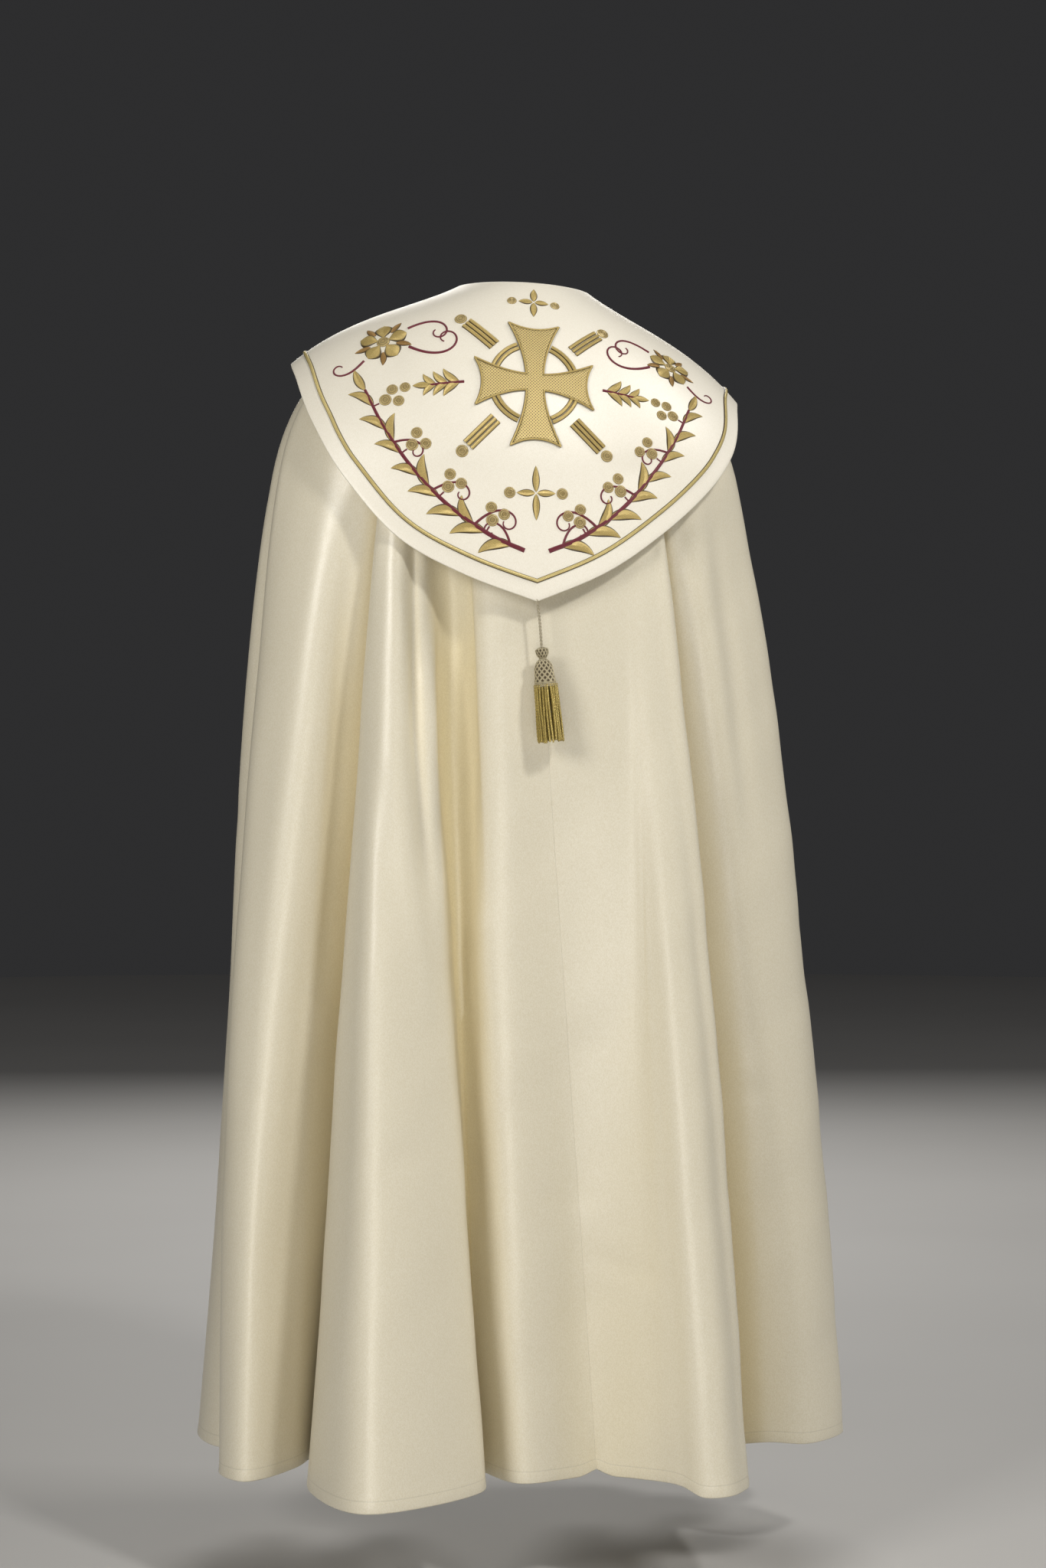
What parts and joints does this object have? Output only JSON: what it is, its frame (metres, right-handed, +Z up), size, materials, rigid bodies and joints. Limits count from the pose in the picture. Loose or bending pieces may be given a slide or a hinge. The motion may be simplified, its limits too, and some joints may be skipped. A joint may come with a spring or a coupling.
{
  "type": "cope vestment",
  "caption": "Floor-length half-round liturgical mantle in ivory satin, worn open in front, with a pointed back hood edged in gold braid, an embroidered cross and a hanging gold tassel.",
  "frame": {"origin": "middle of the neck where the cope rests on the wearer's shoulders", "axes": "+Z up, +X to the wearer's right, +Y the way the wearer faces, so the hood hangs at -Y"},
  "size_m": [0.7638, 0.62, 1.3783],
  "materials": {
    "mantle_cloth": "matt ivory satin",
    "hood_cloth": "ivory satin, interlined",
    "gold_braid": "gold metal thread",
    "gold_couching": "padded gold couching",
    "twisted_cord": "twisted metal thread",
    "gold_strands": "gold bullion thread",
    "clasp_cloth": "ivory satin, interlined"
  },
  "bodies": {
    "root": {"mantle_left": "mantle_cloth", "mantle_right": "mantle_cloth", "hood": "hood_cloth", "hood_braid": "gold_braid", "hood_cross": "gold_couching", "tassel_cord": "twisted_cord", "tassel": "gold_strands", "clasp_band": "clasp_cloth"}
  },
  "joints": []
}
